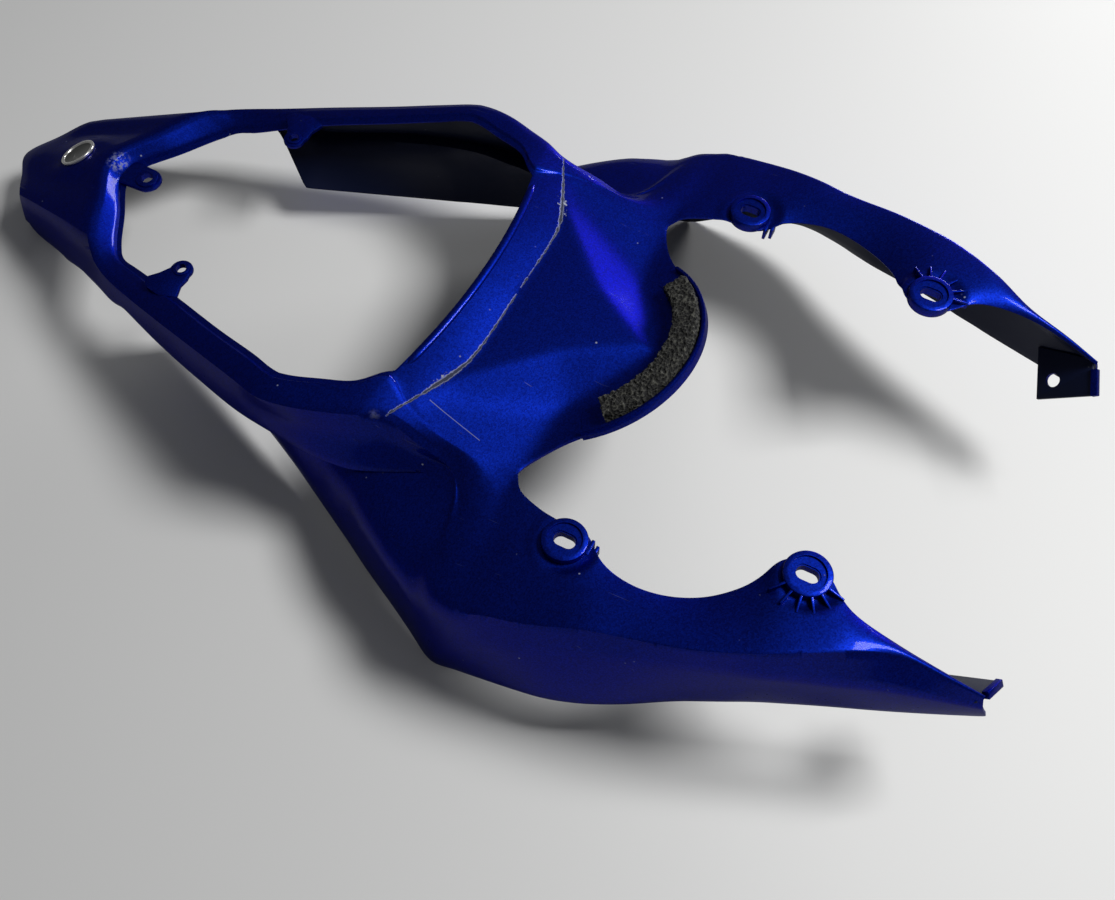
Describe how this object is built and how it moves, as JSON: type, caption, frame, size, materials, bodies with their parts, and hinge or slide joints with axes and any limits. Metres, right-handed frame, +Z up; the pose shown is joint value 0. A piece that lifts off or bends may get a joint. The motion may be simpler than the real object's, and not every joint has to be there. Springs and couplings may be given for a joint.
{
  "type": "motorcycle tail fairing",
  "caption": "One-piece moulded tail fairing for a sport motorcycle, with a pillion seat opening, swept side wings, slotted fixing points and a foam strip for the seat.",
  "frame": {"origin": "on the surface that the part rests on, under the middle of its outline", "axes": "+X to the front of the motorcycle, +Y to its left, +Z up"},
  "size_m": [0.72, 0.376, 0.121],
  "materials": {
    "paint": "metallic royal blue with clear lacquer, lightly scuffed",
    "foam": "coarse open-cell black foam",
    "badge_metal": "plain silver rim with a dark face"
  },
  "bodies": {
    "root": {"tail_shell": "paint", "foam_strip": "foam", "badge": "badge_metal"}
  },
  "joints": []
}
